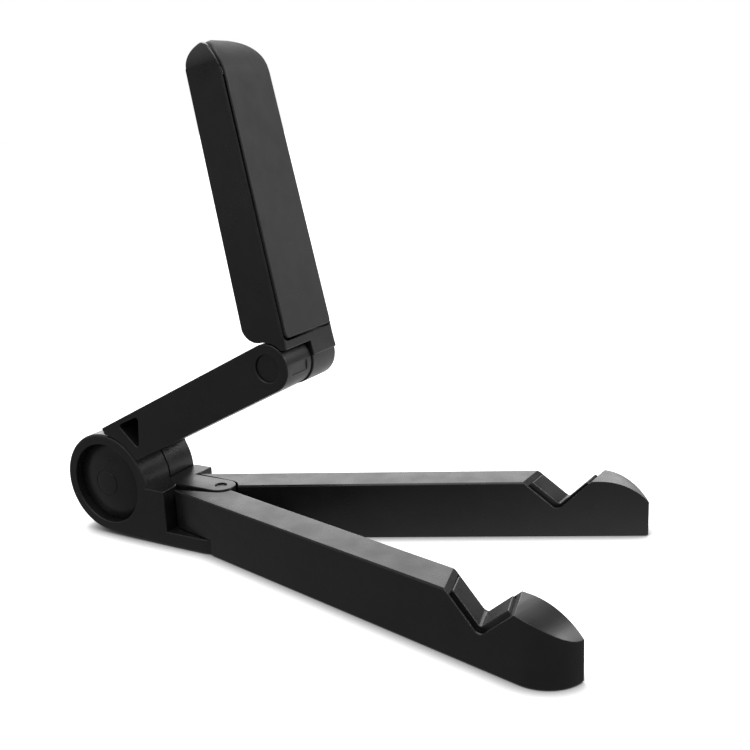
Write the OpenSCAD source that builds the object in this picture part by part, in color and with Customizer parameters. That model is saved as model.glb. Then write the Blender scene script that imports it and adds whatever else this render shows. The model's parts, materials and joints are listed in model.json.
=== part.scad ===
// Folding stand for a phone or tablet: two splayed legs with V-shaped cradles,
// a round-cheeked base, a cranked arm and a padded backrest.
// Millimetres. The leg pivot is the Z axis and the table is z = 0.
// +X points towards the toes, +Y towards the far leg.

/* [Overall] */
// Width of the hub, the arm and the lower end of the backrest
width = 27.4; // [26.6:0.2:28]
// Width of each leg
leg_width = 12.3; // [11.8:0.1:12.6]
// Height of the leg tops above the table
leg_top = 20; // [19:0.5:22]
// Gap between the table and the hard plastic, filled by the rubber feet
ground_gap = 0.4; // [0.3:0.1:0.8]

/* [Pose] */
// Opening of the near leg from the centre plane
near_open = 13.6; // [0:0.1:27]
// Opening of the far leg from the centre plane
far_open = 24.5; // [0:0.1:27]
// Rise of the arm above the table
arm_rise = 26.7; // [0:0.1:105]
// Lean of the backrest behind the vertical
pad_lean = 11.7; // [-10:0.1:38]

/* [Legs] */
// Pivot to the tip of the toe
leg_length = 147.7; // [140:0.5:160]
// Largest opening of one leg, which is also the skew of its notch
open_max = 27; // [20:0.5:30]
// Pivot to the middle of the notch, square to the notch
notch_place = 103.9; // [95:0.1:106]
// Height of the bottom of the notch
notch_floor = 10.4; // [9.5:0.1:11.5]
// Radius of the rounded bottom of the notch
notch_radius = 2; // [1.6:0.1:2.4]
// Radius of the curved top of the toe, in side view
toe_radius = 22; // [20:0.5:26]
// Place where the top of the toe starts to fall
toe_start = 131; // [130:0.5:132]
// Wall thickness of the hollow legs
leg_wall = 2.2; // [1.8:0.1:2.6]
// Thickness of the plate that closes a leg from below
leg_sole_thick = 1.8; // [1.6:0.1:2]

/* [Hub] */
// Leg pivot to the hub axis
hub_back = 41.3; // [41:0.1:44]
// Radius of the hub
hub_radius = 18.4; // [18:0.1:19]
// Rise of the hub above the bottom of the base, which slopes up to it
hub_lift = 0.8; // [0.2:0.1:1]
// Height of the top of the base
deck_top = 20.4; // [20.2:0.1:20.8]
// Radius of the round hub cap
hub_cap_radius = 14.7; // [14:0.1:15]
// Depth of the recess that holds the hub cap
hub_cap_depth = 4.7; // [4.5:0.1:5]

/* [Leg pivot] */
// Radius of the pivot pin
pin_radius = 2; // [1.8:0.1:2.2]
// Half-width of the tongue over the pin
tongue_radius = 5.2; // [4.8:0.1:5.6]
// Radius of the lap at the end of each leg
lug_radius = 9; // [8:0.1:9.4]
// Height of the top of the plate under the laps
floor_top = 5.4; // [5:0.1:5.6]
// Reach of the legs' rear ends behind the pivot
tail_radius = 16.1; // [15.5:0.1:16.5]

/* [Arm] */
// Hub axis to elbow axis, measured along the arm
arm_length = 89.3; // [85:0.1:92]
// Thickness of the arm
arm_thick = 15.7; // [15:0.1:16.2]
// Height of the underside over the hub axis, when folded
arm_offset = 2.6; // [2.5:0.1:3]

/* [Backrest] */
// Elbow axis to the top of the backrest
pad_length = 102; // [96:0.5:103]
// Elbow axis to the front plane of the housing
pad_front = 9; // [8.6:0.1:9.1]
// How far the rubber face stands proud of the housing
face_proud = 0.7; // [0.4:0.1:0.8]
// Elbow axis to the rear plane, at the elbow
pad_rear = 6.7; // [6.4:0.1:7.2]
// How much thinner the backrest is at its top
pad_taper = 2.7; // [2:0.1:4]
// How much narrower each side of the backrest is at its top
pad_narrowing = 1.5; // [0:0.1:1.6]
// Radius of the curved front of the top, in side view
pad_nose_radius = 12.5; // [10:0.1:13]
// Radius of the rear edge of the top, in side view
pad_heel_radius = 7.5; // [5:0.1:8]
// Radius of the top corners, in front view
pad_corner_radius = 9.5; // [5:0.1:10]
// Radius of the ear that carries the backrest
ear_radius = 8.3; // [8.2:0.1:8.3]

/* [Hidden] */

$fn = 96;
BLACK = "#202022";
RUBBER = "#2c2c2e";
STEEL = "#b8babd";
NYLON = "#d8d4c8";

half = width / 2;
// Running gap between curved faces of different bodies
gap = 0.4;
// Half of the gap between the two halves of a lap joint
seam = 0.2;
// Radial clearance of a moving shaft, and of one that is fixed
run_clear = 0.05;
fix_clear = 0.02;
// Width of the groove around the tongue
tongue_clear = 0.8;
// Overshoot of a cutting tool
over = 1;
// Straight steps in each arc of a small rounded outline
arc_steps = 12;

hub_height = hub_radius + ground_gap + hub_lift;
hub_x = -hub_back;
arm_top = arm_offset + arm_thick;
elbow_radius = arm_thick / 2;
elbow_height = arm_offset + elbow_radius;

// Levels of the laps, bottom to top, with a washer in each gap
washer_thick = 0.4;
tongue_thick = 3;
tongue_bottom = deck_top - tongue_thick;
lap_height = (tongue_bottom - floor_top - 3 * washer_thick) / 2;
low_lap = floor_top + washer_thick;
high_lap = low_lap + lap_height + washer_thick;
lap_clear = 0.2;

// Front edge of the walls beside the legs
wall_front = -14.8;
// The foot recess in the underside, and the thickness of all rubber feet
foot_thick = 1.4;
foot_radius = 7;
base_foot_back = 24;

// Inner faces of the closed legs stay this far from the centre plane
inner_gap = 0.15;
toe_centre = leg_length - leg_width;
notch_centre = notch_floor + notch_radius;
notch_half = (leg_top - notch_centre + notch_radius * sqrt(2));
// Rubber lining of the notch: half of its thickness stands proud
lining_half = 1;
lining_side = 2.3;
// The bed of the lining is wider, which leaves a groove on both of its sides
bed_side = 0.9;
lining_end = 2.2;
lining_run = (notch_half - notch_radius / sqrt(2)) * sqrt(2) - lining_end;

// Hollows inside a leg: start, end and top of each
leg_cells = [[24, 40, 17.6], [42, 58, 17.6], [60, 76, 17.6], [78, 93, 17.6],
             [104, 131, 7]];
leg_screw_places = [19.5, 98.5, 135.5];
leg_sole_start = 16.2;
leg_sole_inset = 1.3;
leg_foot_span = [110, 126];
leg_foot_radius = 3.2;
leg_foot_thick = 1.2;

screw_radius = 1;
screw_head_radius = 1.9;
screw_head_thick = 1;
leg_screw_length = 6;

// Hollows inside the arm: start and end of each, along the arm
arm_cells = [[34, 47], [49, 62], [64, 76]];
arm_wall = 2;
arm_cover_span = [27, 81];
arm_cover_thick = 1.8;
arm_cover_inset = 1;
arm_screw_length = 7;
arm_screw_places = [30.5, 78.5];
// Corners of the triangular pocket beside the hub, in the arm's frame
pocket_points = [[18.4, 16.5], [22.5, 5.6], [29, 16.1]];
pocket_round = 1;
pocket_depth = 11;
// Near side plate: where its rear end stands
plate_rear = 10.2;
// Shallow moulded panel on the front of the elbow
panel_width = 8;
panel_height = 3.2;
panel_depth = 0.4;
panel_offset = 6.8;
panel_angle = -30;

// Backrest levels, measured forward from the elbow axis
face_front = pad_front + face_proud;
face_thick = 2.9;
backing_thick = 1.2;
face_back = face_front - face_thick;
backing_back = face_back - backing_thick;
rubber_nose_radius = pad_nose_radius + face_proud;
floor_nose_radius = rubber_nose_radius - face_thick;
nose_start = pad_length - rubber_nose_radius;
nose_depth = face_front - rubber_nose_radius;
opening_inset = 0.8;
face_inset = 1;
face_bottom = 8.2;
lip_bottom = 4.8;
rear_round = 6;
body_bottom = 8.2;
body_bottom_round = 0.5;
face_bottom_round = 1.5;
// The neck that joins the housing to its ear, at the back
neck_rear = 3;
backing_span = [12, 84];
backing_half = 9.5;
pad_cells = [[18, 38], [40, 58], [60, 77]];
pad_wall = 2;
pad_cell_half = 8.5;
pad_screw_places = [14.5, 81];
pad_screw_length = 7;

pin_head_radius = 4;
pin_head_thick = 1.2;
pin_sunk = 0.5;
washer_play = 0.05;

// Domed hub caps: a seated rim, a hollow crown and a moulded ring mark
cap_rim = 1.2;
cap_rise = 3.2;
cap_shell = 1.2;
cap_mark_radius = 4.75;
cap_mark_width = 0.5;
cap_mark_depth = 0.5;
cap_sphere = (pow(hub_cap_radius, 2) + pow(cap_rise, 2)) / (2 * cap_rise);
cap_bore = hub_cap_radius - cap_shell;

// Rings that give the hinges their friction, sunk into one of the two faces
ring_thick = 1;
ring_play = 0.05;
ring_sunk = ring_thick - seam + ring_play;
hub_ring_outer = 12;
elbow_ring_outer = 6;

bolt_head_sides = 6;
hub_bolt_radius = 2.5;
hub_head_radius = 4.6;
hub_head_thick = 3.2;
hub_head_y = -half + hub_cap_depth;
hub_nut_floor = 4.6;
hub_pocket_radius = 6.4;
hub_washer_space = 0.8;
hub_washer_rise = 0.3;
hub_washer_sheet = 0.4;
hub_nut_thick = 2.6;
elbow_bolt_radius = 2;
elbow_head_radius = 3.7;
elbow_head_thick = 2.2;
elbow_pocket_radius = 4.5;
elbow_cap_sunk = 0.8;
elbow_cap_thick = 1.2;
elbow_nut_floor = 5.8;
elbow_washer_space = 0.7;
elbow_washer_rise = 0.25;
elbow_washer_sheet = 0.35;
elbow_nut_thick = 2.4;
elbow_cap_back = -half + elbow_cap_sunk + elbow_cap_thick;

// ---------- Plane helpers ----------

function unit(v) = v / norm(v);
function direction(v) = atan2(v[1], v[0]);
function corner_in(pts, i) = unit(pts[(i + len(pts) - 1) % len(pts)] - pts[i]);
function corner_out(pts, i) = unit(pts[(i + 1) % len(pts)] - pts[i]);
function corner_half(pts, i) =
    acos(corner_in(pts, i) * corner_out(pts, i)) / 2;
function corner_centre(pts, i, radius) =
    pts[i] + unit(corner_in(pts, i) + corner_out(pts, i))
        * radius / sin(corner_half(pts, i));

// Points of an arc about the origin
function arc_points(radius, from, to, steps = arc_steps) =
    [for (step = [0 : steps])
        let (angle = from + (to - from) * step / steps)
            radius * [cos(angle), sin(angle)]];

// Points of one rounded corner, or the corner itself where the radius is 0
function corner_points(pts, i, radius) = radius == 0 ? [pts[i]] :
    let (turn = 180 - 2 * corner_half(pts, i),
         start = direction(corner_in(pts, i)) + 90)
        [for (offset = arc_points(radius, start, start + turn))
            corner_centre(pts, i, radius) + offset];

// Convex polygon, listed anticlockwise, with a radius for each corner
module rounded_polygon(pts, radii) {
    polygon([for (i = [0 : len(pts) - 1])
        for (point = corner_points(pts, i, radii[i])) point]);
}

// Slot with round ends along X
module slot_shape(start, end, radius) {
    translate([start, -radius]) square([end - start, 2 * radius]);
    translate([start, 0]) circle(radius);
    translate([end, 0]) circle(radius);
}

// Extrude an X-Z outline along Y, from y0 to y1
module along_y(y0, y1) {
    translate([0, y1, 0]) rotate([90, 0, 0])
        linear_extrude(height = y1 - y0) children();
}

// Round bar along Y
module rod_y(radius, y0, y1) {
    translate([0, y0, 0]) rotate([-90, 0, 0]) cylinder(r = radius, h = y1 - y0);
}

// Six-sided bar along Y
module hex_y(radius, y0, y1) {
    translate([0, y0, 0]) rotate([-90, 0, 0])
        cylinder(r = radius, h = y1 - y0, $fn = bolt_head_sides);
}

// Flat ring along Y
module ring_y(outer, inner, y0, y1) {
    difference() {
        rod_y(outer, y0, y1);
        rod_y(inner, y0 - over, y1 + over);
    }
}

// Coned spring washer along Y, its wide side at y0
module cone_washer_y(outer, inner, y0, rise, thick) {
    translate([0, y0, 0]) rotate([-90, 0, 0]) rotate_extrude()
        polygon([[inner, rise], [outer, 0], [outer, thick],
                 [inner, rise + thick]]);
}

// ---------- Frames ----------

module at_hub() {
    translate([hub_x, 0, hub_height]) children();
}

module in_arm() {
    at_hub() rotate([0, -arm_rise, 0]) children();
}

// The backrest is drawn folded: its length along +X, its front facing -Z
module in_pad() {
    in_arm() translate([arm_length, 0, elbow_height])
        rotate([0, arm_rise - 90 - pad_lean, 0]) children();
}

module in_near_leg() {
    rotate([0, 0, -near_open]) mirror([0, 1, 0]) children();
}

module in_far_leg() {
    rotate([0, 0, far_open]) children();
}

// ---------- Base ----------

module base_plate_shape() {
    translate([hub_x, -half]) square([hub_back, width]);
    circle(half);
}

module base_body() color(BLACK) difference() {
    union() {
        difference() {
            union() {
                base_block();
                translate([0, 0, ground_gap])
                    linear_extrude(height = floor_top - ground_gap)
                        base_plate_shape();
            }
            rear_slope();
        }
        at_hub() rod_y(hub_radius, -half, -seam);
        translate([0, 0, tongue_bottom]) linear_extrude(height = tongue_thick)
            slot_shape(-hub_back / 2, 0, tongue_radius);
    }
    knuckle_space();
    hub_cap_recess();
    at_hub() rod_y(hub_bolt_radius + fix_clear, -half, half);
    at_hub() hex_y(hub_head_radius, hub_head_y - over,
                   hub_head_y + hub_head_thick);
    at_hub() rod_y(hub_ring_outer, -ring_sunk, 0);
    pin_holes();
    translate([0, 0, -over]) linear_extrude(height = foot_thick + over)
        slot_shape(-base_foot_back, 0, foot_radius);
}

// Walls and front of the base, open around the rear ends of the legs
module base_block() {
    difference() {
        translate([hub_x, -half, ground_gap])
            cube([wall_front - hub_x, width, deck_top - ground_gap]);
        translate([0, 0, floor_top])
            cylinder(r = tail_radius + gap, h = leg_top);
    }
}

// The underside slopes up from the legs to the bottom of the hub
module rear_slope() {
    along_y(-half - over, half + over)
        polygon([[hub_x - over, -over], [wall_front, -over],
                 [wall_front, ground_gap], [hub_x, ground_gap + hub_lift],
                 [hub_x - over, ground_gap + hub_lift]]);
}

// Room for the arm's round knuckle in the far half
module knuckle_space() {
    at_hub() rod_y(hub_radius + gap, -seam, half + over);
    translate([hub_x - over, -seam, -over])
        cube([hub_radius / 2 + over, half + over, hub_height]);
}

module hub_cap_recess() {
    at_hub() rod_y(hub_cap_radius + run_clear, -half - over, hub_head_y);
}

module pin_holes() {
    cylinder(r = pin_radius + fix_clear, h = deck_top + over);
    translate([0, 0, foot_thick - over])
        cylinder(r = pin_head_radius + fix_clear, h = pin_head_thick + over);
}

module base_sole() color(RUBBER)
    linear_extrude(height = foot_thick)
        slot_shape(-base_foot_back, 0, foot_radius);

module domed_cap() {
    crown = cap_rim + cap_rise;
    difference() {
        intersection() {
            translate([0, 0, crown - cap_sphere]) sphere(r = cap_sphere);
            cylinder(r = hub_cap_radius, h = crown);
        }
        intersection() {
            translate([0, 0, crown - cap_sphere - cap_shell])
                sphere(r = cap_sphere);
            translate([0, 0, -over]) cylinder(r = cap_bore, h = crown + over);
        }
        translate([0, 0, crown - cap_mark_depth]) difference() {
            cylinder(r = cap_mark_radius + cap_mark_width / 2, h = over);
            translate([0, 0, -over])
                cylinder(r = cap_mark_radius - cap_mark_width / 2,
                         h = 3 * over);
        }
    }
}

module hub_cap() color(BLACK)
    at_hub() translate([0, hub_head_y, 0]) rotate([90, 0, 0]) domed_cap();

module hub_rear_cap() color(BLACK)
    in_arm() translate([0, -hub_head_y, 0]) rotate([-90, 0, 0]) domed_cap();

module hub_bolt() color(STEEL) at_hub() {
    hex_y(hub_head_radius - fix_clear, hub_head_y,
          hub_head_y + hub_head_thick);
    rod_y(hub_bolt_radius, hub_head_y + hub_head_thick - seam,
          hub_nut_floor + hub_washer_space + hub_nut_thick);
}

module hub_nut() color(STEEL) at_hub() {
    nut_y = hub_nut_floor + hub_washer_space;
    difference() {
        hex_y(hub_head_radius, nut_y, nut_y + hub_nut_thick);
        rod_y(hub_bolt_radius, nut_y - over, nut_y + hub_nut_thick + over);
    }
}

module hub_spring_washer() color(STEEL) at_hub()
    cone_washer_y(hub_pocket_radius - gap, hub_bolt_radius + run_clear,
                  hub_nut_floor + run_clear, hub_washer_rise,
                  hub_washer_sheet);

module hub_friction_ring() color(NYLON) at_hub()
    ring_y(hub_ring_outer - fix_clear, hub_bolt_radius + run_clear,
           -ring_sunk, ring_thick - ring_sunk);

module leg_pin() color(STEEL) {
    translate([0, 0, foot_thick])
        cylinder(r = pin_head_radius, h = pin_head_thick);
    translate([0, 0, foot_thick])
        cylinder(r = pin_radius, h = deck_top - pin_sunk - foot_thick);
}

module leg_washers() color(NYLON)
    for (level = [floor_top, low_lap + lap_height, high_lap + lap_height])
        translate([0, 0, level + washer_play]) difference() {
            cylinder(r = tongue_radius - gap,
                     h = washer_thick - 2 * washer_play);
            translate([0, 0, -over])
                cylinder(r = pin_radius + fix_clear, h = 3 * over);
        }

// ---------- Legs ----------

// All leg modules are drawn for the far leg: closed, its outer side at +Y

module leg_plan() {
    translate([0, inner_gap]) square([toe_centre, leg_width - inner_gap]);
    intersection() {
        translate([toe_centre, 0]) circle(leg_width);
        translate([toe_centre, inner_gap]) square(leg_width);
    }
    difference() {
        intersection() {
            circle(tail_radius);
            translate([-tail_radius, inner_gap])
                square([tail_radius, leg_width - inner_gap]);
        }
        rotate([0, 0, -open_max]) translate([-2 * tail_radius, -width])
            square([2 * tail_radius, width + inner_gap + seam]);
    }
}

// Side view: flat top, then the curved toe
module leg_side() {
    translate([-tail_radius, ground_gap])
        square([toe_start + tail_radius, leg_top - ground_gap]);
    intersection() {
        translate([toe_start, leg_top - toe_radius]) circle(toe_radius);
        translate([toe_start - over, ground_gap])
            square([leg_length - toe_start + 2 * over, leg_top]);
    }
}

// Place a notch outline: its middle at the origin, its bottom arc's centre at 0
module at_notch() {
    rotate([0, 0, -open_max]) translate([notch_place, 0, notch_centre])
        along_y(-leg_length, leg_length) children();
}

// Upright V with walls at 45 degrees and a round bottom, centred on the arc
module notch_shape(radius) {
    reach = leg_top;
    slope = radius / sqrt(2);
    circle(radius);
    polygon([[-slope, -slope], [-slope - reach, reach - slope],
             [slope + reach, reach - slope], [slope, -slope]]);
}

// Upper end of a wall of the lining; side is 1 or -1
function wall_end(radius, side) =
    [side * (lining_run + radius), lining_run - radius] / sqrt(2);

// Section of the lining: two walls joined by a round bottom
module lining_section() {
    outer = notch_radius + lining_half;
    inner = notch_radius - lining_half;
    polygon(concat([wall_end(outer, 1)], arc_points(outer, -45, -135),
                   [wall_end(outer, -1), wall_end(inner, -1)],
                   arc_points(inner, -135, -45), [wall_end(inner, 1)]));
}

// Band of that section which stays this far from both sides of the leg
module lining_band(side) {
    intersection() {
        at_notch() lining_section();
        translate([0, side, 0])
            cube([leg_length, leg_width - 2 * side, leg_top]);
    }
}

// Room for the tongue over the whole swing of the leg
module tongue_space() {
    reach = tongue_radius + tongue_clear;
    side = 90 - open_max;
    front = arc_points(reach, -90, side, 2 * arc_steps);
    rear = front[2 * arc_steps] + width * [-cos(open_max), sin(open_max)];
    translate([0, 0, tongue_bottom - lap_clear])
        linear_extrude(height = tongue_thick + over)
            polygon(concat(front, [rear, [-width, -reach]]));
}

// Room for the plate under the leg
module floor_space() {
    translate([0, 0, -over]) linear_extrude(height = floor_top + over + gap) {
        circle(half + 2 * gap);
        translate([-width, -width]) square([width, 2 * width]);
    }
}

module leg_body(own_lap, other_lap) {
    difference() {
        union() {
            difference() {
                intersection() {
                    linear_extrude(height = leg_top) leg_plan();
                    along_y(0, leg_width) leg_side();
                }
                at_notch() notch_shape(notch_radius);
                lining_band(bed_side);
                floor_space();
                translate([0, 0, floor_top - lap_clear])
                    cylinder(r = lug_radius + gap, h = tongue_bottom - floor_top);
            }
            translate([0, 0, own_lap]) cylinder(r = lug_radius, h = lap_height);
            leg_lap_root(own_lap, other_lap);
        }
        tongue_space();
        translate([0, 0, own_lap - over])
            cylinder(r = pin_radius + run_clear, h = lap_height + 2 * over);
        leg_hollows();
    }
}

// Joins the round lap to the leg beyond the other leg's lap
module leg_lap_root(own_lap, other_lap) {
    intersection() {
        translate([0, 0, own_lap]) linear_extrude(height = lap_height)
            leg_plan();
        cylinder(r = lug_radius + over, h = leg_top);
    }
}

module leg_hollows() {
    for (cell = leg_cells)
        translate([cell[0], leg_wall, -over])
            cube([cell[1] - cell[0], leg_width - 2 * leg_wall, cell[2] + over]);
    translate([0, 0, -over])
        linear_extrude(height = ground_gap + leg_sole_thick + over)
            leg_sole_plan(fix_clear);
    for (place = leg_screw_places)
        translate([place, leg_width / 2, 0])
            cylinder(r = screw_radius + fix_clear,
                     h = ground_gap + leg_screw_length + gap);
}

module leg_sole_plan(grow) {
    edge = leg_sole_inset - grow;
    translate([leg_sole_start - grow, edge])
        square([toe_centre - leg_sole_start + grow, leg_width - 2 * edge]);
    intersection() {
        translate([toe_centre, 0]) circle(leg_width - edge);
        translate([toe_centre - over, edge]) square(leg_width);
    }
}

module leg_sole() {
    difference() {
        translate([0, 0, ground_gap]) linear_extrude(height = leg_sole_thick)
            leg_sole_plan(0);
        for (place = leg_screw_places) translate([place, leg_width / 2, 0]) {
            cylinder(r = screw_radius + fix_clear, h = leg_top);
            cylinder(r = screw_head_radius + fix_clear,
                     h = ground_gap + screw_head_thick);
        }
        translate([0, leg_width / 2, -over])
            linear_extrude(height = leg_foot_thick + over)
                slot_shape(leg_foot_span[0], leg_foot_span[1],
                           leg_foot_radius);
    }
}

module leg_foot() {
    translate([0, leg_width / 2, 0]) linear_extrude(height = leg_foot_thick)
        slot_shape(leg_foot_span[0], leg_foot_span[1], leg_foot_radius);
}

module leg_screws() {
    for (place = leg_screw_places)
        translate([place, leg_width / 2, ground_gap]) {
            cylinder(r = screw_head_radius, h = screw_head_thick);
            cylinder(r = screw_radius, h = leg_screw_length);
        }
}

module leg_near_body() color(BLACK)
    in_near_leg() leg_body(low_lap, high_lap);
module leg_near_sole() color(BLACK) in_near_leg() leg_sole();
module leg_near_cradle() color(RUBBER) in_near_leg() lining_band(lining_side);
module leg_near_foot() color(RUBBER) in_near_leg() leg_foot();
module leg_near_screws() color(STEEL) in_near_leg() leg_screws();
module leg_far_body() color(BLACK)
    in_far_leg() leg_body(high_lap, low_lap);
module leg_far_sole() color(BLACK) in_far_leg() leg_sole();
module leg_far_cradle() color(RUBBER) in_far_leg() lining_band(lining_side);
module leg_far_foot() color(RUBBER) in_far_leg() leg_foot();
module leg_far_screws() color(STEEL) in_far_leg() leg_screws();

// ---------- Arm ----------

module at_elbow() {
    in_arm() translate([arm_length, 0, elbow_height]) children();
}

module arm_body() color(BLACK) in_arm() difference() {
    union() {
        // Near half: side plate beside the hub, round knuckle at the elbow
        difference() {
            along_y(-half, 0) arm_near_side();
            rod_y(hub_radius + gap, -half - over, half);
        }
        // Far half: round knuckle at the hub, open at the elbow
        difference() {
            along_y(seam, half) arm_far_side();
            translate([arm_length, 0, elbow_height])
                rod_y(ear_radius + gap, -half, half + over);
        }
        arm_core();
    }
    along_y(-half - over, pocket_depth - half)
        rounded_polygon(pocket_points, [for (point = pocket_points) pocket_round]);
    arm_hollows();
    arm_hub_holes();
    arm_elbow_holes();
}

module arm_near_side() {
    translate([plate_rear, arm_offset])
        square([arm_length - plate_rear, arm_thick]);
    translate([arm_length, elbow_height]) circle(elbow_radius);
}

module arm_far_side() {
    circle(hub_radius);
    translate([0, arm_offset]) square([arm_length, arm_top - arm_offset]);
}

// The middle of the arm, between the hub and the ear of the backrest
module arm_core() {
    difference() {
        translate([0, -over, arm_offset])
            cube([arm_length, 2 * over, arm_thick]);
        rod_y(hub_radius + gap, -half, seam);
        translate([arm_length, 0, elbow_height])
            rod_y(ear_radius + gap, -seam, half);
    }
}

module arm_hollows() {
    for (cell = arm_cells)
        translate([cell[0], arm_wall - half, arm_offset - over])
            cube([cell[1] - cell[0], width - 2 * arm_wall,
                  arm_thick - arm_wall + over]);
    translate([arm_cover_span[0] - fix_clear,
               arm_cover_inset - half - fix_clear, arm_offset - over])
        cube([arm_cover_span[1] - arm_cover_span[0] + 2 * fix_clear,
              width - 2 * arm_cover_inset + 2 * fix_clear,
              arm_cover_thick + over]);
    for (place = arm_screw_places)
        translate([place, 0, arm_offset])
            cylinder(r = screw_radius + fix_clear, h = arm_screw_length + gap);
}

module arm_hub_holes() {
    rod_y(hub_bolt_radius + run_clear, 0, half);
    rod_y(hub_pocket_radius, hub_nut_floor, half);
    rod_y(hub_cap_radius + run_clear, -hub_head_y, half + over);
}

module arm_elbow_holes() {
    translate([arm_length, 0, elbow_height]) {
        rod_y(elbow_bolt_radius + fix_clear, -half, half);
        rod_y(elbow_pocket_radius + fix_clear, -half - over,
              elbow_cap_back);
        rod_y(elbow_head_radius + fix_clear, -half,
              elbow_cap_back + elbow_head_thick);
        rod_y(elbow_ring_outer, -ring_sunk, 0);
        elbow_panel();
    }
}

// Shallow rectangular panel on the rounded front of the elbow
module elbow_panel() {
    rotate([0, -panel_angle, 0])
        translate([elbow_radius - panel_depth, -panel_offset - panel_width / 2,
                   -panel_height / 2])
            cube([over, panel_width, panel_height]);
}

module arm_cover() color(BLACK) in_arm() difference() {
    translate([arm_cover_span[0], arm_cover_inset - half, arm_offset])
        cube([arm_cover_span[1] - arm_cover_span[0],
              width - 2 * arm_cover_inset, arm_cover_thick]);
    for (place = arm_screw_places) translate([place, 0, arm_offset - over]) {
        cylinder(r = screw_radius + fix_clear, h = arm_thick);
        cylinder(r = screw_head_radius + fix_clear,
                 h = screw_head_thick + over);
    }
}

module arm_screws() color(STEEL) in_arm()
    for (place = arm_screw_places) translate([place, 0, arm_offset]) {
        cylinder(r = screw_head_radius, h = screw_head_thick);
        cylinder(r = screw_radius, h = arm_screw_length);
    }

module elbow_cap() color(BLACK) at_elbow()
    rod_y(elbow_pocket_radius, -half + elbow_cap_sunk, elbow_cap_back);

module elbow_bolt() color(STEEL) at_elbow() {
    rod_y(elbow_head_radius, elbow_cap_back,
          elbow_cap_back + elbow_head_thick);
    rod_y(elbow_bolt_radius, elbow_cap_back,
          elbow_nut_floor + elbow_washer_space + elbow_nut_thick);
}

module elbow_nut() color(STEEL) at_elbow() {
    nut_y = elbow_nut_floor + elbow_washer_space;
    difference() {
        hex_y(elbow_head_radius, nut_y, nut_y + elbow_nut_thick);
        rod_y(elbow_bolt_radius, nut_y - over, nut_y + elbow_nut_thick + over);
    }
}

module elbow_spring_washer() color(STEEL) at_elbow()
    cone_washer_y(elbow_pocket_radius - gap, elbow_bolt_radius + run_clear,
                  elbow_nut_floor + run_clear, elbow_washer_rise,
                  elbow_washer_sheet);

module elbow_friction_ring() color(NYLON) at_elbow()
    ring_y(elbow_ring_outer - fix_clear, elbow_bolt_radius + run_clear,
           -ring_sunk, ring_thick - ring_sunk);

// ---------- Backrest ----------

function rear_at(u) = pad_rear - pad_taper * u / pad_length;

// Side view of the housing, or of anything that follows its curved nose:
// front is the depth of the front plane and nose the radius of the curve
module pad_side(front, nose) {
    heel_centre = [pad_length - pad_heel_radius - face_proud,
                   rear_at(pad_length) - pad_heel_radius];
    intersection() {
        polygon([[0, -front], [pad_length, -front],
                 [pad_length, rear_at(pad_length)], [0, pad_rear]]);
        union() {
            translate([-over, -width]) square([nose_start + over, 2 * width]);
            translate([nose_start, -nose_depth]) circle(nose);
            translate([nose_start, -nose_depth]) square([nose, width]);
        }
        union() {
            translate([-over, -width])
                square([heel_centre[0] + over, 2 * width]);
            translate([heel_centre[0], -width])
                square([width, heel_centre[1] + width]);
            translate(heel_centre) circle(pad_heel_radius);
        }
    }
}

// Half of the width of the backrest, which narrows above its ear
function side_at(u) =
    half - pad_narrowing * max(0, u - ear_radius) / (pad_length - ear_radius);

// Front view, inset from the outline of the housing
module pad_outline(bottom, inset, bottom_round) {
    top = pad_length - inset;
    low = side_at(bottom) - inset;
    wide = side_at(ear_radius) - inset;
    high = side_at(top) - inset;
    round = pad_corner_radius - inset;
    bend = max(bottom, ear_radius) + bottom_round;
    rounded_polygon([[bottom, low], [bottom, -low], [bend, -wide],
                     [top, -high], [top, high], [bend, wide]],
                    [bottom_round, bottom_round, 0, round, round, 0]);
}

// Everything behind the bed of the rubber face
module face_bed(front, nose) {
    along_y(-width, width) {
        translate([-width, -front]) square([nose_start + width, width]);
        translate([nose_start, -nose_depth]) circle(nose);
    }
}

module pad_body() color(BLACK) in_pad() difference() {
    union() {
        intersection() {
            union() {
                along_y(-half, half) pad_lower_side();
                along_y(seam, half) translate([0, -pad_front])
                    square([body_bottom + over, pad_front + neck_rear]);
            }
            translate([0, 0, -width]) linear_extrude(height = 2 * width)
                pad_outline(0, 0, body_bottom_round);
        }
        rod_y(ear_radius, seam, half);
    }
    // Hollow that clears the arm's knuckle on the near side
    rod_y(elbow_radius + gap, -half - over, seam);
    // Bed of the rubber face
    difference() {
        translate([0, 0, -width]) linear_extrude(height = width)
            pad_outline(face_bottom - gap, opening_inset, face_bottom_round);
        face_bed(face_back, floor_nose_radius);
    }
    pad_hollows();
    rod_y(elbow_bolt_radius + run_clear, 0, half);
    rod_y(elbow_pocket_radius, elbow_nut_floor, half + over);
}

// Housing in side view, with the rounded heel and the lip under the face
module pad_lower_side() {
    intersection() {
        pad_side(pad_front, pad_nose_radius);
        union() {
            heel = [body_bottom + rear_round, rear_at(body_bottom) - rear_round];
            translate([heel[0], -width]) square([pad_length, 2 * width]);
            translate(heel) circle(rear_round);
            translate([lip_bottom, -width])
                square([pad_length, heel[1] + width]);
        }
    }
}

module pad_hollows() {
    translate([backing_span[0] - fix_clear, -backing_half - fix_clear,
               -face_back - over])
        cube([backing_span[1] - backing_span[0] + 2 * fix_clear,
              2 * backing_half + 2 * fix_clear, backing_thick + over]);
    along_y(-pad_cell_half, pad_cell_half) for (cell = pad_cells)
        polygon([[cell[0], -backing_back - over], [cell[1], -backing_back - over],
                 [cell[1], rear_at(cell[1]) - pad_wall],
                 [cell[0], rear_at(cell[0]) - pad_wall]]);
    for (place = pad_screw_places)
        translate([place, 0, -face_back])
            cylinder(r = screw_radius + fix_clear, h = pad_screw_length + gap);
}

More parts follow.
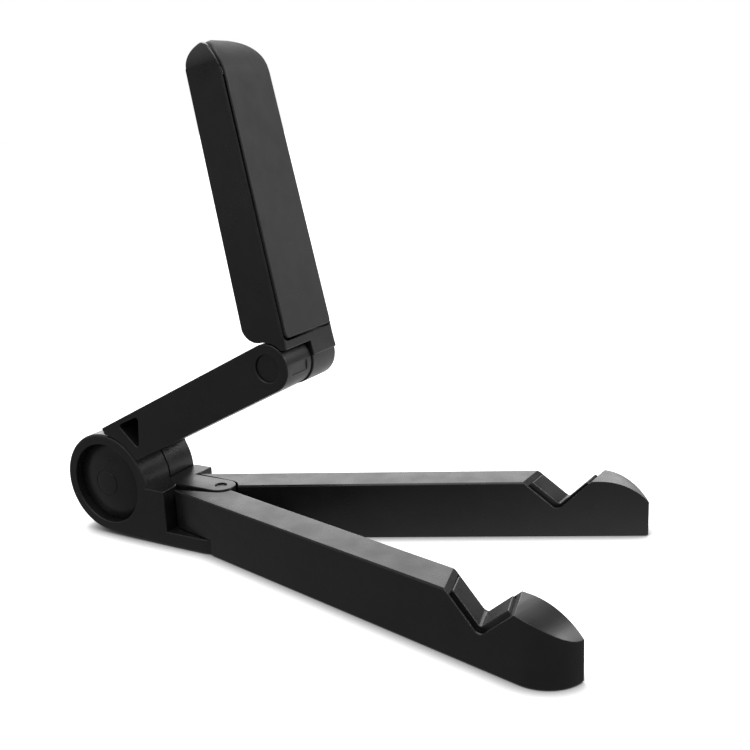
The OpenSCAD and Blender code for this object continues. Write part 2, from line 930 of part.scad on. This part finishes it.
module pad_backing() color(BLACK) in_pad() difference() {
    translate([backing_span[0], -backing_half, -face_back])
        cube([backing_span[1] - backing_span[0], 2 * backing_half,
              backing_thick]);
    for (place = pad_screw_places) translate([place, 0, -face_back - over]) {
        cylinder(r = screw_radius + fix_clear, h = width);
        cylinder(r = screw_head_radius + fix_clear,
                 h = screw_head_thick + over);
    }
}

module pad_screws() color(STEEL) in_pad()
    for (place = pad_screw_places) translate([place, 0, -face_back]) {
        cylinder(r = screw_head_radius, h = screw_head_thick);
        cylinder(r = screw_radius, h = pad_screw_length);
    }

module pad_face() color(RUBBER) in_pad() difference() {
    intersection() {
        along_y(-half, half) pad_side(face_front, rubber_nose_radius);
        translate([0, 0, -width]) linear_extrude(height = width)
            pad_outline(face_bottom, face_inset, face_bottom_round);
    }
    face_bed(face_back, floor_nose_radius);
}

module ear_cap() color(BLACK) in_pad()
    rod_y(elbow_pocket_radius - fix_clear, -elbow_cap_back,
          half - elbow_cap_sunk);

base_body();
base_sole();
hub_cap();
hub_bolt();
hub_nut();
hub_spring_washer();
hub_friction_ring();
leg_pin();
leg_washers();
leg_near_body();
leg_near_sole();
leg_near_cradle();
leg_near_foot();
leg_near_screws();
leg_far_body();
leg_far_sole();
leg_far_cradle();
leg_far_foot();
leg_far_screws();
arm_body();
arm_cover();
arm_screws();
hub_rear_cap();
elbow_cap();
elbow_bolt();
elbow_nut();
elbow_spring_washer();
elbow_friction_ring();
pad_body();
pad_backing();
pad_screws();
pad_face();
ear_cap();
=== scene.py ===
import json
import math

import bmesh
import bpy
from mathutils import Matrix, Vector


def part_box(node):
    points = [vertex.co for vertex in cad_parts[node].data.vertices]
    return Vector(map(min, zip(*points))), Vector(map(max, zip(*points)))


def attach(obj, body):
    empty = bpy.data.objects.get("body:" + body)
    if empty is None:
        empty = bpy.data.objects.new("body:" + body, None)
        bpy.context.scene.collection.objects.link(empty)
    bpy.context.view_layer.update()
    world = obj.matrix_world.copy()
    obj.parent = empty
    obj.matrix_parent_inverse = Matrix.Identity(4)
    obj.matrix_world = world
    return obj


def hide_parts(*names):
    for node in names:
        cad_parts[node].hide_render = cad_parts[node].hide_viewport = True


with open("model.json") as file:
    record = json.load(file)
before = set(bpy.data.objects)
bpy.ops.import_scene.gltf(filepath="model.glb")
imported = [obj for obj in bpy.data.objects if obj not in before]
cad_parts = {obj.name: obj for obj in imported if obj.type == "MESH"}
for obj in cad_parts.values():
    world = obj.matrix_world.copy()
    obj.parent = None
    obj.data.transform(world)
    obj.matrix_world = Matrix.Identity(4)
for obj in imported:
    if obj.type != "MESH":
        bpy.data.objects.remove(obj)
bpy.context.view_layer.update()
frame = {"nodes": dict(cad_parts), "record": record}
MM = 0.001


# ---------- Node helpers ----------

def set_or_link(tree, socket, value):
    """Links a socket to another socket, or sets it to a plain value."""
    if isinstance(value, bpy.types.NodeSocket):
        tree.links.new(value, socket)
    else:
        socket.default_value = value


def add_node(tree, kind, inputs=None, **settings):
    """A shader node with its settings, and its inputs set to values or linked from sockets."""
    node = tree.nodes.new(kind)
    for name, value in settings.items():
        setattr(node, name, value)
    for name, value in (inputs or {}).items():
        set_or_link(tree, node.inputs[name], value)
    return node


def math_node(tree, operation, first, second=None):
    node = add_node(tree, "ShaderNodeMath", operation=operation)
    set_or_link(tree, node.inputs[0], first)
    if second is not None:
        set_or_link(tree, node.inputs[1], second)
    return node.outputs[0]


def remap(tree, value, low, high, to_low, to_high):
    """Takes low..high to to_low..to_high with soft ends, and holds the ends beyond them."""
    node = add_node(tree, "ShaderNodeMapRange",
                    {"Value": value, "From Min": low, "From Max": high,
                     "To Min": to_low, "To Max": to_high},
                    interpolation_type="SMOOTHSTEP")
    return node.outputs["Result"]


def mix_colour(tree, factor, first, second):
    node = tree.nodes.new("ShaderNodeMix")
    node.data_type = "RGBA"
    # The colour sockets of this node share their names with its other kinds.
    factor_socket, first_socket, second_socket = (node.inputs[i] for i in (0, 6, 7))
    set_or_link(tree, factor_socket, factor)
    set_or_link(tree, first_socket, first)
    set_or_link(tree, second_socket, second)
    return node.outputs[2]


def noise(tree, where, scale, detail=2, roughness=0.5, offset=0.0):
    moved = add_node(tree, "ShaderNodeVectorMath",
                     {0: where, 1: (offset, offset, offset)}, operation="ADD")
    return add_node(tree, "ShaderNodeTexNoise",
                    {"Vector": moved.outputs[0], "Scale": scale,
                     "Detail": detail, "Roughness": roughness}).outputs["Fac"]


def scaled(colour, gain, lift=0.0):
    return tuple(c * gain + lift for c in colour[:3]) + (1,)


def grey(value):
    return (value, value, value, 1)


def new_material(name):
    """A material with its node tree, its shader and its object coordinates."""
    material = bpy.data.materials.new(name)
    material.use_nodes = True
    tree = material.node_tree
    where = tree.nodes.new("ShaderNodeTexCoord").outputs["Object"]
    return material, tree, tree.nodes["Principled BSDF"], where


# ---------- Materials ----------

# Scales of the surface patterns, in cells per metre.
CLOUD_SCALE = 38
STREAK_SCALE = 260
WEAR_AND_HIGHLIGHT_SCALE = 420
DUST_SCALE = 330
GLOSS_SCALE = 95
WAVE_SCALE = 110
STAIN_SCALE = 300
TURNING_SCALE = 2600

# The stretch of each noise's values that its effect is spread over.
TONE_SPAN = (0.32, 0.68)
WEAR_AND_HIGHLIGHT_SPAN = (0.35, 0.7)
GLOSS_SPAN = (0.3, 0.7)
STAIN_SPAN = (0.3, 0.75)

# Moulded pieces: their tone as a multiple of the plain colour, their gloss and their grain.
CLOUD_SHARE = 0.7
DARK_TONE = 0.84
PALE_TONE = 1.18
# The paler edges set below are partly wear and partly a painted highlight along the rounded
# edges.
LEAST_WEAR_AND_HIGHLIGHT = 0.35
WEAR_AND_HIGHLIGHT_LIFT = 0.004
GLOSSIER = 0.05
DULLER = 0.06
WORN_GLOSS = 0.05
WAVE_HEIGHT = 0.8
GRAIN_DEPTH = 0.05 * MM

# Dust: the radius of a speck in cells, the share of the cells that hold none, and its colour.
SPECK_CORE = 0.03
SPECK_RIM = 0.09
CLEAN_SHARE = 0.8
DUSTY_SHARE = 0.84
DUST_GAIN = 3.2
DUST_LIFT = 0.03

# Metal pieces.
STAIN_TONE = 0.72
BRIGHTER = 0.08
RUBBED = 0.1
TURNING_STRENGTH = 0.25
TURNING_DEPTH = 0.01 * MM


def moulded(name, colour, rough, grain, grain_size, specks=0.3, wear_and_highlight_gain=1.6, seed=0):
    """Moulded plastic or rubber: fine grain, cloudy gloss, dust specks, and paler edges that are
    partly wear and partly a painted highlight.
    """
    material, tree, shader, where = new_material(name)

    # Each pattern is shifted by an amount of its own, so that no two of them line up.
    cloud = noise(tree, where, CLOUD_SCALE, detail=3, roughness=0.55, offset=seed)
    streak = noise(tree, where, STREAK_SCALE, offset=seed + 3)
    tone = math_node(tree, "ADD", math_node(tree, "MULTIPLY", cloud, CLOUD_SHARE),
                     math_node(tree, "MULTIPLY", streak, 1 - CLOUD_SHARE))
    tint = remap(tree, tone, *TONE_SPAN, 0, 1)
    base = mix_colour(tree, tint, scaled(colour, DARK_TONE), scaled(colour, PALE_TONE))

    # The rounded edges are painted paler: partly wear in patches, partly a painted highlight
    # along the edges.
    edge = add_node(tree, "ShaderNodeAttribute", attribute_name="edge").outputs["Fac"]
    patches = noise(tree, where, WEAR_AND_HIGHLIGHT_SCALE, detail=3, roughness=0.6, offset=seed + 5)
    wear_and_highlight = math_node(tree, "MULTIPLY", edge,
                     remap(tree, patches, *WEAR_AND_HIGHLIGHT_SPAN, LEAST_WEAR_AND_HIGHLIGHT, 1))
    base = mix_colour(tree, wear_and_highlight, base, scaled(colour, wear_and_highlight_gain, WEAR_AND_HIGHLIGHT_LIFT))

    cells = add_node(tree, "ShaderNodeTexVoronoi",
                     {"Vector": where, "Scale": DUST_SCALE, "Randomness": 1})
    dot = remap(tree, cells.outputs["Distance"], SPECK_CORE, SPECK_RIM, 1, 0)
    pick = add_node(tree, "ShaderNodeSeparateColor",
                    {"Color": cells.outputs["Color"]}).outputs[0]
    chosen = remap(tree, pick, CLEAN_SHARE, DUSTY_SHARE, 0, specks)
    dust = math_node(tree, "MULTIPLY", dot, chosen)
    base = mix_colour(tree, dust, base, scaled(colour, DUST_GAIN, DUST_LIFT))
    tree.links.new(base, shader.inputs["Base Color"])

    haze = noise(tree, where, GLOSS_SCALE, detail=3, roughness=0.6, offset=seed + 9)
    gloss = remap(tree, haze, *GLOSS_SPAN, rough - GLOSSIER, rough + DULLER)
    gloss = math_node(tree, "SUBTRACT", gloss,
                      math_node(tree, "MULTIPLY", wear_and_highlight, WORN_GLOSS))
    tree.links.new(gloss, shader.inputs["Roughness"])

    fine = noise(tree, where, 1 / (grain_size * MM), roughness=0.6, offset=seed + 12)
    waves = noise(tree, where, WAVE_SCALE, offset=seed + 17)
    height = math_node(tree, "ADD", fine,
                       math_node(tree, "MULTIPLY", waves, WAVE_HEIGHT))
    bump = add_node(tree, "ShaderNodeBump",
                    {"Strength": grain, "Distance": GRAIN_DEPTH, "Height": height})
    tree.links.new(bump.outputs[0], shader.inputs["Normal"])
    return material


def metal(name, colour, rough, seed=0):
    """Machined steel: finely mottled gloss, faint stains."""
    material, tree, shader, where = new_material(name)
    stain = noise(tree, where, STAIN_SCALE, detail=3, roughness=0.6, offset=seed)
    clean = remap(tree, stain, *STAIN_SPAN, 0, 1)
    tree.links.new(mix_colour(tree, clean, scaled(colour, STAIN_TONE), colour),
                   shader.inputs["Base Color"])
    shader.inputs["Metallic"].default_value = 1
    marks = noise(tree, where, TURNING_SCALE, roughness=0.6, offset=seed + 4)
    gloss = remap(tree, marks, *GLOSS_SPAN, rough - BRIGHTER, rough + RUBBED)
    tree.links.new(gloss, shader.inputs["Roughness"])
    bump = add_node(tree, "ShaderNodeBump",
                    {"Strength": TURNING_STRENGTH, "Distance": TURNING_DEPTH,
                     "Height": marks})
    tree.links.new(bump.outputs[0], shader.inputs["Normal"])
    return material


# Grain sizes are in millimetres.
PLASTIC = moulded("moulded_black", grey(0.0145), rough=0.3, grain=0.3, grain_size=0.34)
CAP_PLASTIC = moulded("cap_black", grey(0.014), rough=0.3, grain=0.25,
                      grain_size=0.34, seed=31)
FACE_RUBBER = moulded("face_rubber", grey(0.027), rough=0.55, grain=0.5,
                      grain_size=0.42, specks=0.8, seed=57)
LINING_RUBBER = moulded("lining_rubber", grey(0.018), rough=0.3, grain=0.3,
                        grain_size=0.4, seed=71)
SOLE_RUBBER = moulded("sole_rubber", grey(0.03), rough=0.7, grain=0.5,
                      grain_size=0.5, seed=83)
NYLON = moulded("nylon", (0.62, 0.6, 0.53, 1), rough=0.4, grain=0.2,
                grain_size=0.4, specks=0.1, wear_and_highlight_gain=1.05, seed=91)
STEEL = metal("plain_steel", (0.6, 0.61, 0.62, 1), rough=0.34)
DARK_STEEL = metal("blackened_steel", (0.16, 0.16, 0.165, 1), rough=0.42, seed=7)


# ---------- Mesh helpers ----------

WELD = 0.0001 * MM
TOUCH = 0.01 * MM
FLAT_ANGLE = math.radians(0.4)
ROUNDED_ANGLE = math.radians(28)
SHARP_ANGLE = math.radians(38)

# The base's half of the hub reaches as far from the middle as the arm's half does.
HUB_WIDTH = 2 * max(abs(corner[1]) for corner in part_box("base_body"))
HUB_RIM_ROUNDING = 0.9 * MM
HUB_RIM_FROM_CAP = (2 * MM, 5 * MM)
LEG_CHAMFER = 0.55 * MM
SHORTEST_LEG_EDGE = 20 * MM
PAD_FRONT_ROUNDING = 0.7 * MM


def cad_mesh(node):
    """A clean copy of a CAD node's mesh, with its flat faces joined."""
    mesh = bmesh.new()
    mesh.from_mesh(frame["nodes"][node].data)
    bmesh.ops.remove_doubles(mesh, verts=mesh.verts, dist=WELD)
    bmesh.ops.dissolve_limit(mesh, angle_limit=FLAT_ANGLE,
                             verts=mesh.verts, edges=mesh.edges)
    return mesh


def repacked(mesh):
    """The same mesh in fresh memory, so that a second bevel gives the same order each run."""
    data = bpy.data.meshes.new("repacked")
    mesh.to_mesh(data)
    mesh.free()
    fresh = bmesh.new()
    fresh.from_mesh(data)
    bpy.data.meshes.remove(data)
    return fresh


def round_edges(mesh, width, segments, where=None):
    """Rounds the sharp outer edges and marks the new faces as edge faces."""
    edge_layer = mesh.loops.layers.float.get("edge")
    if edge_layer is None:
        edge_layer = mesh.loops.layers.float.new("edge")
    sharp = [e for e in mesh.edges
             if len(e.link_faces) == 2 and e.is_convex
             and e.calc_face_angle() > ROUNDED_ANGLE
             and (where is None or where(e))]
    made = bmesh.ops.bevel(mesh, geom=sharp, offset=width,
                           offset_type="OFFSET", segments=segments,
                           profile=0.5, affect="EDGES", clamp_overlap=False,
                           loop_slide=True)
    for face in made["faces"]:
        for loop in face.loops:
            loop[edge_layer] = 1


def piece(name, mesh, material, body, nodes):
    """Turns a bmesh into a shown piece that stands for CAD nodes and rides on a body."""
    for edge in mesh.edges:
        edge.smooth = edge.calc_face_angle(0) < SHARP_ANGLE
    data = bpy.data.meshes.new(name)
    mesh.to_mesh(data)
    mesh.free()
    data.shade_smooth()
    obj = bpy.data.objects.new(name, data)
    bpy.context.scene.collection.objects.link(obj)
    data.materials.append(material)
    weighted = obj.modifiers.new("normals", "WEIGHTED_NORMAL")
    weighted.keep_sharp = True
    weighted.mode = "FACE_AREA"
    weighted.weight = 50
    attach(obj, body)
    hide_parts(*nodes)


def rounded_copy(node, name, material, body, width, first=None):
    """A copy of a CAD node with rounded edges; first rounds some of them its own way."""
    mesh = cad_mesh(node)
    if first:
        first(mesh)
        mesh = repacked(mesh)
    round_edges(mesh, width, segments=3)
    piece(name, mesh, material, body, [node])


def middle_of(box):
    low, high = box
    return (Vector(low) + Vector(high)) / 2


def hub_rim(side):
    """Rounds the rim of the hub's outer face more than the other edges; side is -1 or 1."""
    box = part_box("hub_cap" if side < 0 else "hub_rear_cap")
    centre = middle_of(box)
    cap_radius = (box[1][2] - box[0][2]) / 2
    inner, outer = (cap_radius + step for step in HUB_RIM_FROM_CAP)
    face = side * HUB_WIDTH / 2

    def on_rim(edge):
        return all(abs(v.co.y - face) < TOUCH
                   and inner < (v.co - centre).xz.length < outer
                   for v in edge.verts)

    def first(mesh):
        round_edges(mesh, HUB_RIM_ROUNDING, segments=4, where=on_rim)
    return first


def leg_chamfer(mesh):
    """Cuts the flat chamfer along the outer and inner top edges of a leg."""
    top = max(v.co.z for v in mesh.verts)

    def along_top(edge):
        return (all(abs(v.co.z - top) < TOUCH for v in edge.verts)
                and edge.calc_length() > SHORTEST_LEG_EDGE)
    round_edges(mesh, LEG_CHAMFER, segments=1, where=along_top)


def pad_front_edge(mesh):
    """Rounds the outer edge around the front of the backrest's housing."""
    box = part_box("pad_face")
    centre = middle_of(box)
    lower_end = box[0][2]
    front_face = max((f for f in mesh.faces if f.normal.x > 0.9),
                     key=lambda f: f.calc_area())
    facing = front_face.normal.copy()

    def outer(edge):
        front = [f for f in edge.link_faces if f.normal.dot(facing) > 0.99]
        side = [f for f in edge.link_faces if abs(f.normal.dot(facing)) < 0.2]
        if len(front) != 1 or len(side) != 1:
            return False
        middle = (edge.verts[0].co + edge.verts[1].co) / 2
        return side[0].normal.dot(middle - centre) > 0 and middle.z > lower_end
    round_edges(mesh, PAD_FRONT_ROUNDING, segments=3, where=outer)


# ---------- Pieces ----------

BODY_OF = {node: body for body, nodes
           in frame["record"]["behaviour"]["bodies"].items() for node in nodes}

# Edges that are rounded in their own way before the rest.
FIRST = {"base_body": hub_rim(-1), "arm_body": hub_rim(1),
         "pad_body": pad_front_edge,
         "leg_near_body": leg_chamfer, "leg_far_body": leg_chamfer}

# Edge rounding in millimetres, and material, of each piece.
ROUNDING = {
    "base_body": (0.35, PLASTIC), "base_sole": (0.3, SOLE_RUBBER),
    "hub_cap": (0.08, CAP_PLASTIC), "hub_rear_cap": (0.08, CAP_PLASTIC),
    "hub_bolt": (0.25, STEEL), "hub_nut": (0.25, STEEL),
    "hub_spring_washer": (0.05, STEEL), "hub_friction_ring": (0.1, NYLON),
    "leg_pin": (0.2, DARK_STEEL), "leg_washers": (0.05, NYLON),
    "leg_near_body": (0.14, PLASTIC), "leg_far_body": (0.14, PLASTIC),
    "leg_near_sole": (0.2, PLASTIC), "leg_far_sole": (0.2, PLASTIC),
    "leg_near_cradle": (0.3, LINING_RUBBER),
    "leg_far_cradle": (0.3, LINING_RUBBER),
    "leg_near_foot": (0.3, SOLE_RUBBER), "leg_far_foot": (0.3, SOLE_RUBBER),
    "leg_near_screws": (0.15, STEEL), "leg_far_screws": (0.15, STEEL),
    "arm_body": (0.35, PLASTIC), "arm_cover": (0.2, PLASTIC),
    "arm_screws": (0.15, STEEL), "elbow_cap": (0.2, CAP_PLASTIC),
    "elbow_bolt": (0.2, STEEL), "elbow_nut": (0.2, STEEL),
    "elbow_spring_washer": (0.05, STEEL),
    "elbow_friction_ring": (0.1, NYLON),
    "pad_body": (0.4, PLASTIC), "pad_backing": (0.2, PLASTIC),
    "pad_screws": (0.15, STEEL), "pad_face": (0.45, FACE_RUBBER),
    "ear_cap": (0.2, CAP_PLASTIC),
}

for node, (width, material) in ROUNDING.items():
    rounded_copy(node, "shown_" + node, material, BODY_OF[node],
                 width * MM, first=FIRST.get(node))


# ---------- Camera ----------

def aim(position, azimuth, elevation, roll, lens):
    """Places the camera; azimuth is from +Y towards +X, in degrees like the other angles."""
    a, e, r = (math.radians(x) for x in (azimuth, elevation, roll))
    forward = Vector((math.sin(a) * math.cos(e), math.cos(a) * math.cos(e),
                      math.sin(e)))
    right = Vector((math.cos(a), -math.sin(a), 0))
    up = right.cross(forward)
    turned_right = right * math.cos(r) + up * math.sin(r)
    turned_up = up * math.cos(r) - right * math.sin(r)
    data = bpy.data.cameras.new("camera")
    data.lens = lens
    data.sensor_width = 36
    data.clip_start = 0.01
    data.clip_end = 50
    camera = bpy.data.objects.new("camera", data)
    bpy.context.scene.collection.objects.link(camera)
    turn = Matrix((turned_right, turned_up, -forward)).transposed()
    camera.matrix_world = Matrix.Translation(position) @ turn.to_4x4()
    bpy.context.scene.camera = camera


# The photo's viewpoint, as its perspective gives it.
aim(position=Vector((0.21798, -0.26345, 0.14818)), azimuth=-30.19,
    elevation=-15.01, roll=-2.68, lens=49.024)


# ---------- Stage and light ----------

# The floor as the camera sees it; its glow grows between two distances from the origin, and a
# painted contact shadow darkens it close to the stand.
FLOOR_RADIUS = 6
FLOOR_WHITE = 0.96
GLOW_REACH = (0.15, 1.2)
GLOW_STRENGTH = (0.8, 0.95)
CONTACT_REACH = 7 * MM
CONTACT_POWER = 1.9

# The floor as the stand sees it: dim in front of this stretch of y, and bright behind it.
RETURN_STEP = (-0.03, 0.12)
RETURN_STRENGTH = (0.19, 0.9)

# Far out in front it is brighter again: from these distances, up to this stretch of y.
FAR_REACH = (1.2, 1.8)
FAR_FRONT_STEP = (-0.3, 0)
FAR_STRENGTH = 0.5

# The bright band in the world: its bearing from +Y towards +X, its half width, and its top.
BAND_BEARING = math.radians(-26)
BAND_HALF_WIDTH = (math.radians(20), math.radians(34))
BAND_TOP = (0.5, 0.64)
BAND_STRENGTH = 2.1
REAR_STRENGTH = 0.22

# The rest of the world, by the y and z of a direction.
REAR_STEP = (-0.25, 0.4)
FRONT_RISE = (0, 0.5)
FRONT_STRENGTH = (0.1, 0.5)
OVERHEAD_RISE = (0.78, 0.97)
OVERHEAD_STRENGTH = 0.7


def mix_shader(tree, factor, first, second):
    return add_node(tree, "ShaderNodeMixShader", {0: factor, 1: first, 2: second}).outputs[0]


def emission(tree, strength):
    return add_node(tree, "ShaderNodeEmission",
                    {"Color": (1, 1, 1, 1), "Strength": strength}).outputs[0]


def make_floor():
    """Pale floor. What it throws back at the stand is bright behind it and dim in front."""
    mesh = bmesh.new()
    bmesh.ops.create_circle(mesh, cap_ends=True, segments=96, radius=FLOOR_RADIUS)
    data = bpy.data.meshes.new("floor")
    mesh.to_mesh(data)
    mesh.free()
    floor = bpy.data.objects.new("floor", data)
    bpy.context.scene.collection.objects.link(floor)
    material = bpy.data.materials.new("floor_white")
    material.use_nodes = True
    tree = material.node_tree
    tree.nodes.clear()
    place = tree.nodes.new("ShaderNodeTexCoord").outputs["Object"]
    away = add_node(tree, "ShaderNodeVectorMath", {0: place},
                    operation="LENGTH").outputs["Value"]
    y = add_node(tree, "ShaderNodeSeparateXYZ", {"Vector": place}).outputs["Y"]

    # As the camera sees it: white, with a painted contact shadow only where the stand almost
    # touches it.
    pale = add_node(tree, "ShaderNodeBsdfDiffuse", {"Color": grey(FLOOR_WHITE)})
    glow = emission(tree, remap(tree, away, *GLOW_REACH, *GLOW_STRENGTH))
    lit = add_node(tree, "ShaderNodeAddShader", {0: pale.outputs[0], 1: glow})
    open_air = add_node(tree, "ShaderNodeAmbientOcclusion",
                        {"Distance": CONTACT_REACH}, samples=16).outputs["AO"]
    contact = mix_shader(tree, math_node(tree, "POWER", open_air, CONTACT_POWER),
                         emission(tree, 0), lit.outputs[0])

    # As the stand sees it.
    near = remap(tree, y, *RETURN_STEP, *RETURN_STRENGTH)
    far_front = math_node(tree, "MULTIPLY", remap(tree, away, *FAR_REACH, 0, FAR_STRENGTH),
                          remap(tree, y, *FAR_FRONT_STEP, 1, 0))
    thrown = emission(tree, math_node(tree, "ADD", near, far_front))

    seen = tree.nodes.new("ShaderNodeLightPath").outputs["Is Camera Ray"]
    out = tree.nodes.new("ShaderNodeOutputMaterial")
    tree.links.new(mix_shader(tree, seen, thrown, contact), out.inputs["Surface"])
    data.materials.append(material)


def background(tree, strength):
    return add_node(tree, "ShaderNodeBackground",
                    {"Color": (1, 1, 1, 1), "Strength": strength}).outputs[0]


def make_world():
    """White to look at. As light: a bright low band behind, and a front that is dim below."""
    world = bpy.data.worlds.new("studio")
    bpy.context.scene.world = world
    world.use_nodes = True
    tree = world.node_tree
    tree.nodes.clear()
    way = tree.nodes.new("ShaderNodeTexCoord").outputs["Generated"]
    x, y, z = add_node(tree, "ShaderNodeSeparateXYZ", {"Vector": way}).outputs
    bearing = math_node(tree, "ARCTAN2", x, y)
    aside = math_node(tree, "ABSOLUTE",
                      math_node(tree, "SUBTRACT", bearing, BAND_BEARING))
    band = math_node(tree, "MULTIPLY",
                     remap(tree, aside, *BAND_HALF_WIDTH, 1, 0),
                     remap(tree, z, *BAND_TOP, 1, 0))
    rear = math_node(tree, "ADD", math_node(tree, "MULTIPLY", band, BAND_STRENGTH),
                     REAR_STRENGTH)
    front = remap(tree, z, *FRONT_RISE, *FRONT_STRENGTH)
    behind = remap(tree, y, *REAR_STEP, 0, 1)
    around = add_node(tree, "ShaderNodeMix", {0: behind, 2: front, 3: rear}).outputs[0]
    overhead = remap(tree, z, *OVERHEAD_RISE, 0, OVERHEAD_STRENGTH)
    light = math_node(tree, "ADD", around, overhead)

    seen = tree.nodes.new("ShaderNodeLightPath").outputs["Is Camera Ray"]
    out = tree.nodes.new("ShaderNodeOutputWorld")
    tree.links.new(mix_shader(tree, seen, background(tree, light), background(tree, 1)),
                   out.inputs["Surface"])


def soft_light(name, position, target, size, power):
    """A rectangular lamp that points at the target; metres and watts."""
    data = bpy.data.lights.new(name, "AREA")
    data.shape = "RECTANGLE"
    data.size, data.size_y = size
    data.energy = power
    lamp = bpy.data.objects.new(name, data)
    bpy.context.scene.collection.objects.link(lamp)
    lamp.location = position
    aimed = Vector(target) - Vector(position)
    lamp.rotation_euler = aimed.to_track_quat("-Z", "Y").to_euler()
    lamp.visible_camera = False


make_floor()
make_world()
soft_light("overhead", position=(0.0, -0.05, 1.3), target=(0.05, 0, 0),
           size=(1.2, 0.9), power=6)
soft_light("rear_right", position=(0.884, 0.589, 0.648), target=(0.14, -0.03, 0),
           size=(0.5, 0.35), power=3.8)

bpy.context.scene.view_settings.view_transform = "Standard"
